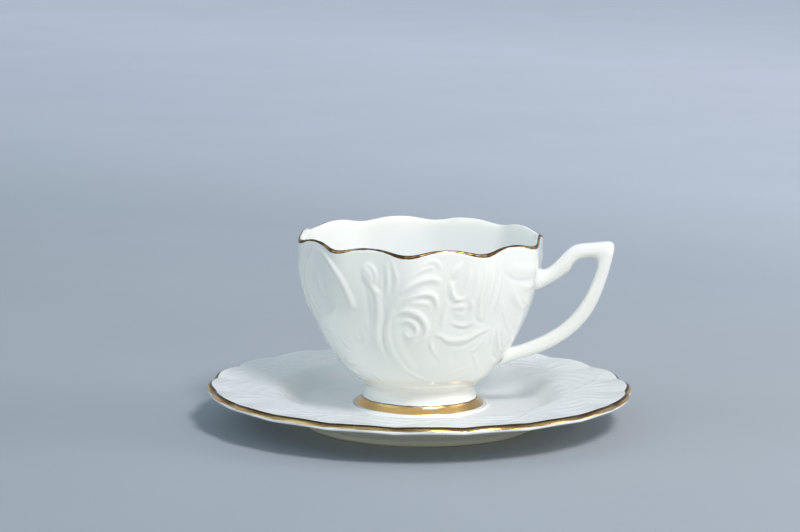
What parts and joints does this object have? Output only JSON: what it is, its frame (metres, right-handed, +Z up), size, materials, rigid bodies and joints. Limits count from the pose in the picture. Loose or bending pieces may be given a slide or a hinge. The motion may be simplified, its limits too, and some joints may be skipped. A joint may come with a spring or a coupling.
{
  "type": "teacup",
  "caption": "Footed porcelain teacup with lobed lip and angular loop handle, standing in its scalloped saucer, with gilt edges.",
  "frame": {"origin": "on the saucer's axis, in the plane its foot ring stands on", "axes": "+Z up along the cup's and saucer's axis; +X from the axis out along the cup's handle; +Y completes the right-handed set, across the handle"},
  "size_m": [0.1504, 0.1504, 0.0688],
  "materials": {
    "porcelain": "clear high-gloss glaze over warm white china",
    "gilding": "burnished bright gold"
  },
  "bodies": {
    "saucer": {"saucer_dish": "porcelain", "saucer_edge_gilding": "gilding"},
    "cup": {"cup_bowl": "porcelain", "cup_foot": "porcelain", "cup_handle": "porcelain", "cup_lip_gilding": "gilding", "cup_foot_gilding": "gilding"}
  },
  "joints": [
    {"name": "cup_lift", "type": "slide", "parent": "saucer", "child": "cup", "axis": [0, 0, 1], "range_m": [0, 0.06]}
  ]
}
